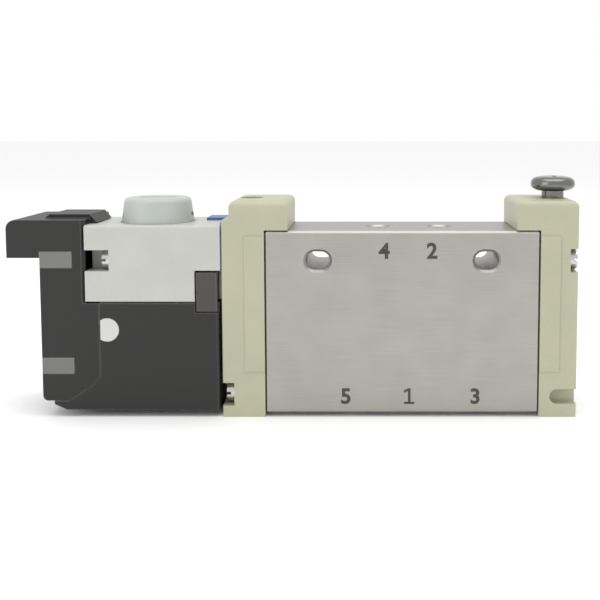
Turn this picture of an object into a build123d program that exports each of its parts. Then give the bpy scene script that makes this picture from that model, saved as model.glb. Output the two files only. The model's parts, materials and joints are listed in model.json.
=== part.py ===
"""Single-solenoid five-port directional valve, 10 mm wide, in-line body with a pilot valve on its left.

Frame: millimetres. The origin is on port 1's axis at the body's underside. +X runs along the body
towards the return spring, +Y across it and +Z up. The spool moves along X, the armature and the
manual override move along Z.
"""

from build123d import *
import os

os.makedirs("parts", exist_ok=True)

# ---- Clearances and fits -------------------------------------------------------------------
SEAT_GAP = 0.05  # between pieces that are assembled face to face without a seal
RUN_GAP = 0.05  # radial gap of what slides or turns in a round bore
SEAL_GAP = 0.02  # radial gap of a seal's lip to what it seals on
THREAD_GAP = 0.04  # radial gap of a screw in its tapped hole

# ---- Body ----------------------------------------------------------------------------------
BODY_LENGTH = 30.0
BODY_MIDDLE = -0.9  # X of the body's middle, from port 1's axis
BODY_WIDTH = 10.0
BODY_HEIGHT = 20.4
BODY_CHAMFER = 0.25
PORT_PITCH = 7.0  # between ports 5, 1 and 3; ports 4 and 2 lie halfway between them
PORT_BORE = 2.5
PORT_CHAMFER = 0.25
SIDE_HOLE_SPACING = 18.6
SIDE_HOLE_DROP = 3.3  # below the body's top
SIDE_HOLE_WIDTH = 2.0
SIDE_HOLE_LENGTH = 2.65
SIDE_HOLE_CHAMFER = 0.3
GALLERY_PLUG = 1.0
GALLERY_PLUG_LENGTH = 0.7
SPOOL_BORE = 7.5

# ---- Spool and its seals -------------------------------------------------------------------
STROKE = 1.6
SPOOL_DIAMETER = 3.2
GROOVE_DIAMETER = 2.0
GROOVE_LAP = 0.6  # how far a groove reaches past a seal's middle at each end of the stroke
SPOOL_CHAMFER = 0.15
SEAL_THICKNESS = 0.9
SEAL_LIP_ROUND = 0.27
SPACER_BORE = 4.4
SPACER_GAP = 0.13  # radial gap of a spacer ring, which the seals beside it centre
SPACER_WINDOW = 1.8
BUSH_LENGTH = 1.6
BUSH_CHAMFER = 0.2
PISTON_GAP = 0.15  # radial, bridged by the piston's seal
PISTON_MARGIN = 0.7  # left between piston and bush at the end of the stroke
PISTON_THICKNESS = 1.6
PISTON_GROOVE = 0.6
PISTON_GROOVE_DEPTH = 0.55
SEAT_FLANGE_DIAMETER = 4.8
SEAT_FLANGE = 0.6
SEAT_SOCKET_WALL = 0.4
SPRING_WIRE = 0.35
SPRING_TURNS = 4
RETURN_SPRING_DIAMETER = 3.6

# ---- End caps ------------------------------------------------------------------------------
GASKET = 0.2
CAP_INSET = 0.05  # how far the plastic pieces' sides lie inside the body's
CAP_PAD_PROUD = 0.12  # the raised pads make the caps the widest part of the valve
CAP_FOOT = 0.45  # how far the caps reach below the body
LEFT_CAP_LENGTH = 4.95
RIGHT_CAP_LENGTH = 4.4
TOWER_RISE = 3.3  # above the body's top
TOWER_OVERHANG = 2.4  # over the body's top face
LEFT_SHOULDER_RISE = 1.1  # above the body's top
LEFT_SHOULDER_DEPTH = 0.9
TOWER_ROUND = 0.75
CAP_ROUND = 0.3
PAD_BOTTOM = 4.7
PAD_TOP_DROP = 0.6  # below the body's top
PAD_LENGTH = 2.2
PAD_ROOT = 0.1  # how deep the pads are rooted in the caps' sides
HOLD_DOWN_BORE = 2.6
LEFT_HOLE_WALL = 0.35  # from each hold-down hole to the recess beside it
RIGHT_HOLE_WALL = 0.2
LEFT_RECESS_DEPTH = 0.25
RIGHT_RECESS_DEPTH = 0.7
RIGHT_RECESS_DIAMETER = 5.8
SIDE_GROOVE_HEIGHT = 1.7
SIDE_GROOVE_Z = 1.85
SIDE_GROOVE_LENGTH = 3.0
SIDE_GROOVE_DEPTH = 1.2

# ---- Small screws, all along X -------------------------------------------------------------
SCREW_SHANK = 1.4
SCREW_HEAD = 2.2
SCREW_HEAD_HEIGHT = 0.9
SCREW_POCKET = 2.6
SCREW_SLOT = 0.3
SCREW_SIDE = 3.4  # Y of each screw from the middle plane
SCREW_LOW_Z = 2.1
SCREW_HIGH_DROP = 3.3  # below the body's top
SCREW_GRIP = 3.0
POCKET_DEPTH = 1.3
PILOT_SCREW_FRONT_Z = 17.1
PILOT_SCREW_BACK_Z = 13.9

# ---- Air channels --------------------------------------------------------------------------
CHANNEL = 0.7
SIGNAL_WALL = 0.35  # from the channel that feeds the piston to the hold-down hole beside it
SIGNAL_RISE = 0.55  # its middle above the pilot housing's underside
SUPPLY_Y = 3.9
SUPPLY_LOW_Z = 5.0
SUPPLY_HIGH_Z = 15.2
RISER_FROM_GASKET = 0.75

# ---- Hold-down screw -----------------------------------------------------------------------
HOLD_DOWN_PROUD = 0.85  # from the tower's top to the head, with the tip level with the feet
HOLD_DOWN_HEAD = 5.0
HOLD_DOWN_HEAD_HEIGHT = 1.65
HEAD_FOOT_DIAMETER = 3.6
HEAD_RIM_RISE = 0.63
HOLD_DOWN_TIP_CHAMFER = 0.25
RECESS_ARM = 2.3
RECESS_WIDTH = 0.45
RECESS_DEPTH = 0.9

# ---- Pilot housing and override ------------------------------------------------------------
PILOT_BOTTOM = 12.56
PILOT_TOP = 21.0
PILOT_OVER_PLUG = 1.5  # how far the pilot housing reaches left of the coil body
PILOT_GASKET = 0.1
PILOT_GASKET_INSET = 0.3
PILOT_ROUND = 0.35
PILOT_AXIS_FROM_CAP = 7.95  # the solenoid's axis, left of the left cap's outer face
PILOT_CHAMBER = 4.4
PILOT_CHAMBER_DEPTH = 1.04
NOTCH_LENGTH = 2.65
NOTCH_HEIGHT = 2.34
NOTCH_DEPTH = 2.8
CLIP_POCKET_LENGTH = 2.85
CLIP_POCKET_TOP = 16.0
CLIP_POCKET_DEPTH = 1.5
CLIP_BOTTOM = 11.35
CLIP_FOOT = 0.33
CLIP_LEDGE = 0.38  # depth of the coil body's ledge that the clip's foot lies in
CLIP_RECESS = 0.05
CLIP_LEFT_GAP = 0.1
CLIP_RIGHT_GAP = 0.35
CLIP_TOP_GAP = 0.2
CLIP_CHAMFER = 0.12
OVERRIDE_TRAVEL = 1.0
OVERRIDE_WELL = 8.4
OVERRIDE_WELL_DEPTH = 2.1
OVERRIDE_BORE = 4.4
OVERRIDE_BORE_FLOOR = 16.6
CAP_TOP = 23.75
CAP_BASE_DIAMETER = 8.2
CAP_TOP_DIAMETER = 7.4
CAP_BAND = 0.9
CAP_HUB = 3.6
CAP_SKIRT_GAP = 0.15  # from the skirt to the well's floor when the override is pressed
CAP_TOP_ROUND = 0.54
CAP_NOTCH_WIDTH = 1.2
CAP_NOTCH_HEIGHT = 0.4
CAP_NOTCH_DEPTH = 0.8
DRIVER_SLOT_LENGTH = 4.2
DRIVER_SLOT_WIDTH = 0.8
DRIVER_SLOT_DEPTH = 0.7
PLUNGER_DISC = 0.8
PLUNGER_RISE = 0.3  # the disc's top above the well's floor when the override is up
PIN_DIAMETER = 0.6
PIN_OFFSET = 1.35
OVERRIDE_SPRING_DIAMETER = 3.75
OVERRIDE_SPRING_WIRE = 0.22
OVERRIDE_SPRING_TURNS = 3
TONGUE_LENGTH = 2.4
TONGUE_WIDTH = 3.2
TONGUE_THICKNESS = 0.3
TONGUE_Y = 2.2

# ---- Solenoid ------------------------------------------------------------------------------
COIL_LENGTH = 13.2
COIL_BOTTOM = 0.28
COIL_TOP = 12.35
COIL_WALL = 0.55
COIL_FLOOR = 0.5
COIL_GAP_TO_CAP = 0.3
COIL_GASKET_INSET = 0.1
COIL_ROUND = 0.3
COIL_TOE_LENGTH = 5.2
COIL_TOE_SLOPE = 1.4
COIL_TOE_RISE = 0.1
COIL_TOE_TIP = 0.35
BOBBIN_FLANGE = 8.6
BOBBIN_FLANGE_THICKNESS = 0.6
BOBBIN_HUB = 4.6
WINDING_INSET = 0.15
ARMATURE_DIAMETER = 3.44
ARMATURE_LENGTH = 5.95
ARMATURE_GAP = 0.45
ARMATURE_TRAVEL = 0.4
YOKE_THICKNESS = 0.6
YOKE_WIDTH = 6.0
YOKE_REACH = 3.4  # past the solenoid's axis
PAD_DIAMETER = 1.8
PAD_THICKNESS = 0.6
PAD_PROUD = 0.15
NOZZLE_DIAMETER = 1.2
NOZZLE_BORE = 0.5
SEAT_DIAMETER = 1.7
SEAT_LENGTH = 0.8
ARMATURE_SPRING_POCKET = 1.9
ARMATURE_SPRING_WIRE = 0.16
ARMATURE_SPRING_TURNS = 6
ARMATURE_POCKET_DEPTH = 2.0
CORE_POCKET_DEPTH = 1.0
POTTING_DIAMETER = 2.6
POTTING_X = 0.85  # plug's middle, from the coil body's left wall
POTTING_Z = 9.4
POTTING_PROUD = 0.08
POTTING_FLAT = 0.1  # the cut side, from the coil body's left wall
POTTING_BACK = 0.08  # wall left behind the plug

# ---- Plug housing --------------------------------------------------------------------------
PLUG_LENGTH = 6.4
PLUG_BOTTOM = 1.4
PLUG_TOP = 21.6
PLUG_WALL = 0.7
PLUG_ROUND = 0.6
BOARD_FOOT = 2.4  # the board space's floor above the housing's underside
CAVITY_CORNER = 0.3
DIAGONAL_LENGTH = 3.6  # the bent seam between plug housing and coil body
DIAGONAL_RISE = 2.75
DIAGONAL_BEND = 1.05
DIAGONAL_BEND_RISE = 1.7
HOOD_BOTTOM = 17.4
HOOD_ROUND = 1.0
PLUG_CHAMFER = 0.3
SOCKET_WIDTH = 7.4
SOCKET_BOTTOM = 18.0
SOCKET_TOP = 20.9
SOCKET_DEPTH = 5.6
BOARD_THICKNESS = 0.8
BOARD_FROM_PILOT = 2.15  # from the board's left face to the housing's upper right end
CONTACT = 0.6
CONTACT_PITCH = 2.54
CONTACT_REACH = 3.3
CONTACT_TAIL = 0.4
TERMINAL = 0.5
TERMINAL_PITCH = 3.0
TERMINAL_Z = 11.25
TERMINAL_HOLE_GAP = 0.12
LED_DEPTH = 0.7
LED_WIDTH = 1.6
LED_HEIGHT = 0.8
LED_DROP = 0.1  # its middle below the upper windows' lower edge
WINDOW_LENGTH = 3.55
WINDOW_HEIGHT = 1.8
UPPER_WINDOW_BOTTOM = 16.3
LOWER_WINDOW_BOTTOM = 4.45
CATCH_LENGTH = 4.4
CATCH_WIDTH = 5.6
CATCH_HEIGHT = 0.45
CATCH_REACH = 0.9
CATCH_LEFT_SLOPE = 0.6
CATCH_RIGHT_SLOPE = 0.8
CATCH_ROOT = 0.2
CATCH_LIFT = 0.1  # clear of the pilot housing's top

# ---- Places that follow from the sizes -----------------------------------------------------
body_left = BODY_MIDDLE - BODY_LENGTH / 2
body_right = BODY_MIDDLE + BODY_LENGTH / 2
left_cap_inner = body_left - GASKET
left_cap_outer = left_cap_inner - (LEFT_CAP_LENGTH - GASKET)
right_cap_inner = body_right + GASKET
right_cap_outer = right_cap_inner + (RIGHT_CAP_LENGTH - GASKET)
spool_z = BODY_HEIGHT / 2
plastic_width = BODY_WIDTH - 2 * CAP_INSET
tower_top = BODY_HEIGHT + TOWER_RISE
left_shoulder_z = BODY_HEIGHT + LEFT_SHOULDER_RISE
pad_top = BODY_HEIGHT - PAD_TOP_DROP
side_hole_z = BODY_HEIGHT - SIDE_HOLE_DROP
screw_high_z = BODY_HEIGHT - SCREW_HIGH_DROP
recess_floor_left = left_cap_inner - LEFT_RECESS_DEPTH
recess_floor_right = right_cap_inner + RIGHT_RECESS_DEPTH
left_hole_x = recess_floor_left - LEFT_HOLE_WALL - HOLD_DOWN_BORE / 2
right_hole_x = recess_floor_right + RIGHT_HOLE_WALL + HOLD_DOWN_BORE / 2
side_hole_xs = [BODY_MIDDLE - SIDE_HOLE_SPACING / 2, BODY_MIDDLE + SIDE_HOLE_SPACING / 2]
lower_ports = [-PORT_PITCH, 0.0, PORT_PITCH]
upper_ports = [-PORT_PITCH / 2, PORT_PITCH / 2]
ring_centres = sorted(lower_ports + upper_ports)
ring_pitch = PORT_PITCH / 2
seal_centres = [ring_centres[0] - ring_pitch / 2] + [x + ring_pitch / 2 for x in ring_centres]
stack_end = seal_centres[-1] + SEAL_THICKNESS / 2
left_bush = (-stack_end - BUSH_LENGTH, -stack_end)
right_bush = (stack_end, stack_end + BUSH_LENGTH)
piston_right = left_bush[0] - STROKE - PISTON_MARGIN
piston_left = piston_right - PISTON_THICKNESS
piston_radius = SPOOL_BORE / 2 - PISTON_GAP
seat_left = right_bush[1] + SEAT_GAP
seat_right = seat_left + SEAT_FLANGE
spool_right = seat_right - SEAT_SOCKET_WALL
# each groove bridges one seal at rest and the next one when the valve is energised
groove_length = ring_pitch - STROKE + 2 * GROOVE_LAP
groove_centres = [(seal_centres[i] + seal_centres[i + 1] - STROKE) / 2 for i in (1, 3)]

low_front = (-SCREW_SIDE, SCREW_LOW_Z)
high_front = (-SCREW_SIDE, screw_high_z)
low_back = (SCREW_SIDE, SCREW_LOW_Z)
high_back = (SCREW_SIDE, screw_high_z)
pilot_front = (-SCREW_SIDE, PILOT_SCREW_FRONT_Z)
pilot_back = (SCREW_SIDE, PILOT_SCREW_BACK_Z)
left_screw_seat = left_cap_outer + POCKET_DEPTH
right_screw_seat = right_cap_outer - SCREW_HEAD_HEIGHT
tapped_radius = SCREW_SHANK / 2 + THREAD_GAP
tapped_depth = SCREW_GRIP + 2 * THREAD_GAP
clear_radius = SCREW_SHANK / 2 + RUN_GAP
channel_radius = CHANNEL / 2

coil_right = left_cap_outer - COIL_GAP_TO_CAP
coil_left = coil_right - COIL_LENGTH
pilot_right = left_cap_outer - PILOT_GASKET
pilot_left = coil_left - PILOT_OVER_PLUG
pilot_x = left_cap_outer - PILOT_AXIS_FROM_CAP
pilot_screw_seat = pilot_left + NOTCH_LENGTH
chamber_top = PILOT_BOTTOM + PILOT_CHAMBER_DEPTH
signal_y = HOLD_DOWN_BORE / 2 + SIGNAL_WALL + channel_radius
signal = (signal_y, PILOT_BOTTOM + SIGNAL_RISE)
supply_low = (SUPPLY_Y, SUPPLY_LOW_Z)
supply_high = (SUPPLY_Y, SUPPLY_HIGH_Z)
riser_x = left_cap_inner - RISER_FROM_GASKET
well_floor = PILOT_TOP - OVERRIDE_WELL_DEPTH
disc_top = well_floor + PLUNGER_RISE
disc_bottom = disc_top - PLUNGER_DISC

cavity_floor = COIL_BOTTOM + COIL_FLOOR
yoke_bottom = cavity_floor + SEAT_GAP
bobbin_bottom = yoke_bottom + YOKE_THICKNESS + SEAT_GAP
armature_top = COIL_TOP - SEAT_GAP
armature_bottom = armature_top - ARMATURE_LENGTH
core_top = armature_bottom - ARMATURE_GAP
yoke_top = armature_top
bobbin_top = yoke_top - YOKE_THICKNESS - SEAT_GAP
guide_radius = ARMATURE_DIAMETER / 2 + RUN_GAP
nozzle_tip = armature_top + PAD_PROUD + SEAL_GAP
pin_tip = armature_top + OVERRIDE_TRAVEL - ARMATURE_TRAVEL + SEAT_GAP
clip_pocket = (coil_right - CLIP_POCKET_LENGTH + COIL_GAP_TO_CAP - PILOT_GASKET, coil_right)

plug_left = coil_left - SEAT_GAP - PLUG_LENGTH
upper_right = pilot_left - SEAT_GAP
board_x = upper_right - BOARD_FROM_PILOT
socket_end = board_x - SEAT_GAP - PLUG_WALL
hood_left = socket_end - SOCKET_DEPTH
socket_z = (SOCKET_BOTTOM + SOCKET_TOP) / 2
plug_diagonal = [
    (coil_left - DIAGONAL_LENGTH, PLUG_BOTTOM),
    (coil_left - DIAGONAL_BEND, PLUG_BOTTOM + DIAGONAL_BEND_RISE),
    (coil_left, PLUG_BOTTOM + DIAGONAL_RISE),
]


# ---- Shapes used by several pieces ---------------------------------------------------------
def block(x_span, y_span, z_span, mode=Mode.ADD):
    """Rectangular block between two values on each axis."""
    with BuildSketch(Plane.XY.offset(z_span[0])) as base:
        with Locations((sum(x_span) / 2, sum(y_span) / 2)):
            Rectangle(x_span[1] - x_span[0], y_span[1] - y_span[0])
    extrude(base.sketch, amount=z_span[1] - z_span[0], mode=mode)


def round_x(x_span, spots, radius, mode=Mode.ADD):
    """Round bar or bore along X at each (y, z) spot."""
    with BuildSketch(Plane.YZ.offset(x_span[0])) as rounds:
        with Locations(*spots):
            Circle(radius)
    extrude(rounds.sketch, amount=x_span[1] - x_span[0], mode=mode)


def round_y(y_span, spots, radius, mode=Mode.ADD):
    """Round bar or bore along Y at each (x, z) spot."""
    with BuildSketch(Plane.XZ.offset(-y_span[0])) as rounds:
        with Locations(*spots):
            Circle(radius)
    extrude(rounds.sketch, amount=y_span[0] - y_span[1], mode=mode)


def round_z(z_span, spots, radius, mode=Mode.ADD):
    """Round bar or bore along Z at each (x, y) spot."""
    with BuildSketch(Plane.XY.offset(z_span[0])) as rounds:
        with Locations(*spots):
            Circle(radius)
    extrude(rounds.sketch, amount=z_span[1] - z_span[0], mode=mode)


def side_profile(points, y_span, mode=Mode.ADD):
    """Outline of (x, z) corners carried across the valve from one Y to another."""
    with BuildSketch(Plane.XZ.offset(-y_span[0])) as outline:
        with BuildLine():
            Polyline(*points, close=True)
        make_face()
    extrude(outline.sketch, amount=y_span[0] - y_span[1], mode=mode)


def across(width):
    """The Y span of something centred on the middle plane."""
    return (-width / 2, width / 2)


def save(piece, name):
    """Label a finished piece and write it."""
    piece.part.label = name
    export_step(piece.part, f"parts/{name}.step")


# ---- Body ----------------------------------------------------------------------------------
def make_valve_body():
    """Aluminium block: spool bore, five ports, side slots, screw holes and supply gallery."""
    with BuildPart() as valve_body:
        block((body_left, body_right), across(BODY_WIDTH), (0, BODY_HEIGHT))
        chamfer(valve_body.edges().filter_by(Axis.X), BODY_CHAMFER)
        round_x((body_left, body_right), [(0, spool_z)], SPOOL_BORE / 2, Mode.SUBTRACT)
        with Locations(*[(x, 0, BODY_HEIGHT) for x in upper_ports]):
            CounterSinkHole(PORT_BORE / 2, PORT_BORE / 2 + PORT_CHAMFER, BODY_HEIGHT - spool_z, 90)
        with Locations(Plane.XY.rotated((180, 0, 0))):
            with Locations(*[(x, 0, 0) for x in lower_ports]):
                CounterSinkHole(PORT_BORE / 2, PORT_BORE / 2 + PORT_CHAMFER, spool_z, 90)
        with BuildSketch(Plane.XZ.offset(-BODY_WIDTH / 2)) as slots:
            with Locations(*[(x, side_hole_z) for x in side_hole_xs]):
                SlotOverall(SIDE_HOLE_LENGTH, SIDE_HOLE_WIDTH)
        extrude(slots.sketch, amount=BODY_WIDTH, mode=Mode.SUBTRACT)
        for last in (0, -1):
            face = valve_body.faces().sort_by(Axis.Y)[last]
            chamfer(face.inner_wires().edges(), SIDE_HOLE_CHAMFER)
        left_tapped = (body_left, body_left + tapped_depth)
        round_x(left_tapped, [low_front, high_back], tapped_radius, Mode.SUBTRACT)
        right_tapped = (body_right - tapped_depth, body_right)
        round_x(right_tapped, [high_front, low_back], tapped_radius, Mode.SUBTRACT)
        round_x((body_left, 0), [supply_low], channel_radius, Mode.SUBTRACT)
        round_y((0, BODY_WIDTH / 2), [(0, SUPPLY_LOW_Z)], channel_radius, Mode.SUBTRACT)
        plug_span = (BODY_WIDTH / 2 - GALLERY_PLUG_LENGTH, BODY_WIDTH / 2)
        round_y(plug_span, [(0, SUPPLY_LOW_Z)], GALLERY_PLUG / 2 + SEAL_GAP, Mode.SUBTRACT)
    save(valve_body, "valve_body")


def make_gallery_plug():
    """Plug that closes the drilled end of the supply gallery."""
    with BuildPart() as gallery_plug:
        span = (BODY_WIDTH / 2 - GALLERY_PLUG_LENGTH, BODY_WIDTH / 2)
        round_y(span, [(0, SUPPLY_LOW_Z)], GALLERY_PLUG / 2)
    save(gallery_plug, "gallery_plug")


# ---- What lies in the spool bore -----------------------------------------------------------
def make_spacer_ring(number, x):
    """Ring that holds two seals apart and lets one port's air through its windows."""
    half = (ring_pitch - SEAL_THICKNESS) / 2
    with BuildPart() as spacer_ring:
        round_x((x - half, x + half), [(0, spool_z)], SPOOL_BORE / 2 - SPACER_GAP)
        round_x((x - half, x + half), [(0, spool_z)], SPACER_BORE / 2, Mode.SUBTRACT)
        reach = SPOOL_BORE / 2
        round_z((spool_z - reach, spool_z + reach), [(x, 0)], SPACER_WINDOW / 2, Mode.SUBTRACT)
        round_y((-reach, reach), [(x, spool_z)], SPACER_WINDOW / 2, Mode.SUBTRACT)
    save(spacer_ring, f"spacer_ring_{number}")


def make_spool_seal(number, x):
    """Rubber ring between two spacers, its lip on the spool."""
    half = SEAL_THICKNESS / 2
    with BuildPart() as spool_seal:
        round_x((x - half, x + half), [(0, spool_z)], SPOOL_BORE / 2 - RUN_GAP)
        round_x((x - half, x + half), [(0, spool_z)], SPOOL_DIAMETER / 2 + SEAL_GAP, Mode.SUBTRACT)
        lip = spool_seal.edges().filter_by(GeomType.CIRCLE).group_by(SortBy.RADIUS)[0]
        fillet(lip, SEAL_LIP_ROUND)
    save(spool_seal, f"spool_seal_{number}")


def make_guide_bush(name, x_span):
    """Plain bush that guides one end of the spool and keeps the stack of seals in place."""
    with BuildPart() as guide_bush:
        round_x(x_span, [(0, spool_z)], SPOOL_BORE / 2 - RUN_GAP)
        round_x(x_span, [(0, spool_z)], SPOOL_DIAMETER / 2 + RUN_GAP, Mode.SUBTRACT)
        rims = guide_bush.edges().filter_by(GeomType.CIRCLE).group_by(SortBy.RADIUS)[-1]
        chamfer(rims, BUSH_CHAMFER)
    save(guide_bush, name)


def make_spool():
    """Stepped shaft with two grooves."""
    with BuildPart() as spool:
        round_x((piston_right, spool_right), [(0, spool_z)], SPOOL_DIAMETER / 2)
        for centre in groove_centres:
            with BuildSketch(Plane.YZ.offset(centre - groove_length / 2)) as ring:
                with Locations((0, spool_z)):
                    Circle(SPOOL_DIAMETER / 2 + RUN_GAP)
                    Circle(GROOVE_DIAMETER / 2, mode=Mode.SUBTRACT)
            extrude(ring.sketch, amount=groove_length, mode=Mode.SUBTRACT)
        chamfer(spool.faces().sort_by(Axis.X)[-1].edges(), SPOOL_CHAMFER)
    save(spool, "spool")


def make_pilot_piston():
    """Disc that pushes the spool, with a groove for its seal and a stop boss."""
    mid = (piston_left + piston_right) / 2
    with BuildPart() as pilot_piston:
        round_x((piston_left, piston_right), [(0, spool_z)], piston_radius)
        with BuildSketch(Plane.YZ.offset(mid - PISTON_GROOVE / 2)) as ring:
            with Locations((0, spool_z)):
                Circle(SPOOL_BORE / 2)
                Circle(piston_radius - PISTON_GROOVE_DEPTH, mode=Mode.SUBTRACT)
        extrude(ring.sketch, amount=PISTON_GROOVE, mode=Mode.SUBTRACT)
        round_x((recess_floor_left + SEAT_GAP, piston_left), [(0, spool_z)], SPOOL_DIAMETER / 2)
    save(pilot_piston, "pilot_piston")


def make_piston_seal():
    """Ring in the piston's groove."""
    mid = (piston_left + piston_right) / 2
    half = PISTON_GROOVE / 2 - SEAL_GAP
    inner = piston_radius - PISTON_GROOVE_DEPTH + SEAL_GAP
    with BuildPart() as piston_seal:
        round_x((mid - half, mid + half), [(0, spool_z)], SPOOL_BORE / 2 - SEAL_GAP)
        round_x((mid - half, mid + half), [(0, spool_z)], inner, Mode.SUBTRACT)
    save(piston_seal, "piston_seal")


def make_spring_seat():
    """Flanged cup on the spool's right end, which the return spring pushes on."""
    with BuildPart() as spring_seat:
        round_x((seat_left, seat_right), [(0, spool_z)], SEAT_FLANGE_DIAMETER / 2)
        boss_radius = RETURN_SPRING_DIAMETER / 2 - SPRING_WIRE - 2 * RUN_GAP
        round_x((seat_right, seat_right + SEAT_SOCKET_WALL), [(0, spool_z)], boss_radius)
        round_x((seat_left, spool_right), [(0, spool_z)], SPOOL_DIAMETER / 2 + SEAL_GAP, Mode.SUBTRACT)
    save(spring_seat, "spring_seat")


def make_spring(name, start, direction, length, outside, wire, turns):
    """Open coil of round wire between two faces."""
    radius = (outside - wire) / 2
    body = length - wire - 2 * SEAL_GAP
    axis = Vector(*direction)
    first = Vector(*start) + axis * (wire / 2 + SEAL_GAP)
    with BuildPart() as spring:
        with BuildLine() as path:
            Helix(body / turns, body, radius, center=first, direction=direction)
        tangent = path.edges()[0] % 0
        with BuildSketch(Plane(origin=path.edges()[0] @ 0, z_dir=tangent)) as section:
            Circle(wire / 2)
        sweep(section.sketch, path=path.wires()[0], is_frenet=True)
    save(spring, name)


# ---- Gaskets and end caps ------------------------------------------------------------------
def make_end_gasket(name, x_span, spots, bore):
    """Sheet between the body and an end cap, open at the bore, screws and gallery."""
    inset = BODY_CHAMFER
    with BuildPart() as end_gasket:
        block(x_span, across(BODY_WIDTH - 2 * inset), (inset, BODY_HEIGHT - inset))
        round_x(x_span, [(0, spool_z)], bore / 2, Mode.SUBTRACT)
        round_x(x_span, spots, clear_radius, Mode.SUBTRACT)
        if name == "left_gasket":
            round_x(x_span, [supply_low], channel_radius, Mode.SUBTRACT)
    save(end_gasket, name)


def screw_pocket(x_span, spot, open_to_y):
    """Pocket for a screw head, open to the cap's side where open_to_y is given."""
    round_x(x_span, [spot], SCREW_POCKET / 2, Mode.SUBTRACT)
    if open_to_y is not None:
        y_span = sorted((open_to_y, spot[0]))
        z_span = (spot[1] - SCREW_POCKET / 2, spot[1] + SCREW_POCKET / 2)
        block(x_span, y_span, z_span, Mode.SUBTRACT)


def make_left_end_cap():
    """Beige cap between the body and the pilot valve, with a tower over the body."""
    half = plastic_width / 2
    with BuildPart() as left_end_cap:
        side_profile(
            [
                (left_cap_outer, -CAP_FOOT),
                (left_cap_inner, -CAP_FOOT),
                (left_cap_inner, BODY_HEIGHT + SEAT_GAP),
                (body_left + TOWER_OVERHANG, BODY_HEIGHT + SEAT_GAP),
                (body_left + TOWER_OVERHANG, tower_top),
                (left_cap_outer + LEFT_SHOULDER_DEPTH, tower_top),
                (left_cap_outer + LEFT_SHOULDER_DEPTH, left_shoulder_z),
                (left_cap_outer, left_shoulder_z),
            ],
            across(plastic_width),
        )
        fillet(left_end_cap.faces().sort_by(Axis.Z)[-1].edges(), TOWER_ROUND)
        corners = left_end_cap.edges().filter_by(Axis.Z).group_by(Axis.X)[0]
        fillet(corners, CAP_ROUND)
        for side in (-1, 1):
            y_span = sorted((side * (half - PAD_ROOT), side * (half + CAP_PAD_PROUD)))
            block((left_cap_inner - PAD_LENGTH, left_cap_inner), y_span, (PAD_BOTTOM, pad_top))
        round_z((-CAP_FOOT, tower_top), [(left_hole_x, 0)], HOLD_DOWN_BORE / 2, Mode.SUBTRACT)
        recess = (recess_floor_left, left_cap_inner)
        round_x(recess, [(0, spool_z)], SPOOL_BORE / 2, Mode.SUBTRACT)
        pocket = (left_cap_outer, left_screw_seat)
        screw_pocket(pocket, low_front, -half)
        screw_pocket(pocket, high_back, None)
        through = (left_screw_seat, left_cap_inner)
        round_x(through, [low_front, high_back], clear_radius, Mode.SUBTRACT)
        tapped = (left_cap_outer, left_cap_outer + tapped_depth)
        round_x(tapped, [pilot_front, pilot_back], tapped_radius, Mode.SUBTRACT)
        round_x((left_cap_outer, recess_floor_left), [signal], channel_radius, Mode.SUBTRACT)
        round_x((riser_x, left_cap_inner), [supply_low], channel_radius, Mode.SUBTRACT)
        riser = (SUPPLY_LOW_Z - channel_radius, SUPPLY_HIGH_Z + channel_radius)
        round_z(riser, [(riser_x, SUPPLY_Y)], channel_radius, Mode.SUBTRACT)
        round_x((left_cap_outer, riser_x), [supply_high], channel_radius, Mode.SUBTRACT)
    save(left_end_cap, "left_end_cap")


def make_right_end_cap():
    """Beige cap over the return spring, with a tower over the body and a groove low on its side."""
    half = plastic_width / 2
    with BuildPart() as right_end_cap:
        side_profile(
            [
                (right_cap_inner, -CAP_FOOT),
                (right_cap_outer, -CAP_FOOT),
                (right_cap_outer, tower_top),
                (body_right - TOWER_OVERHANG, tower_top),
                (body_right - TOWER_OVERHANG, BODY_HEIGHT + SEAT_GAP),
                (right_cap_inner, BODY_HEIGHT + SEAT_GAP),
            ],
            across(plastic_width),
        )
        fillet(right_end_cap.faces().sort_by(Axis.Z)[-1].edges(), TOWER_ROUND)
        corners = right_end_cap.edges().filter_by(Axis.Z).group_by(Axis.X)[-1]
        fillet(corners, CAP_ROUND)
        for side in (-1, 1):
            y_span = sorted((side * (half - PAD_ROOT), side * (half + CAP_PAD_PROUD)))
            block((right_cap_inner, right_cap_inner + PAD_LENGTH), y_span, (PAD_BOTTOM, pad_top))
        round_z((-CAP_FOOT, tower_top), [(right_hole_x, 0)], HOLD_DOWN_BORE / 2, Mode.SUBTRACT)
        recess = (right_cap_inner, recess_floor_right)
        round_x(recess, [(0, spool_z)], RIGHT_RECESS_DIAMETER / 2, Mode.SUBTRACT)
        pocket = (right_screw_seat, right_cap_outer)
        screw_pocket(pocket, high_front, -half)
        screw_pocket(pocket, low_back, None)
        through = (right_cap_inner, right_screw_seat)
        round_x(through, [high_front, low_back], clear_radius, Mode.SUBTRACT)
        with BuildSketch(Plane.XZ.offset(half)) as groove:
            with Locations((right_cap_outer, SIDE_GROOVE_Z)):
                SlotOverall(2 * SIDE_GROOVE_LENGTH, SIDE_GROOVE_HEIGHT)
        extrude(groove.sketch, amount=-SIDE_GROOVE_DEPTH, mode=Mode.SUBTRACT)
    save(right_end_cap, "right_end_cap")


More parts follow.
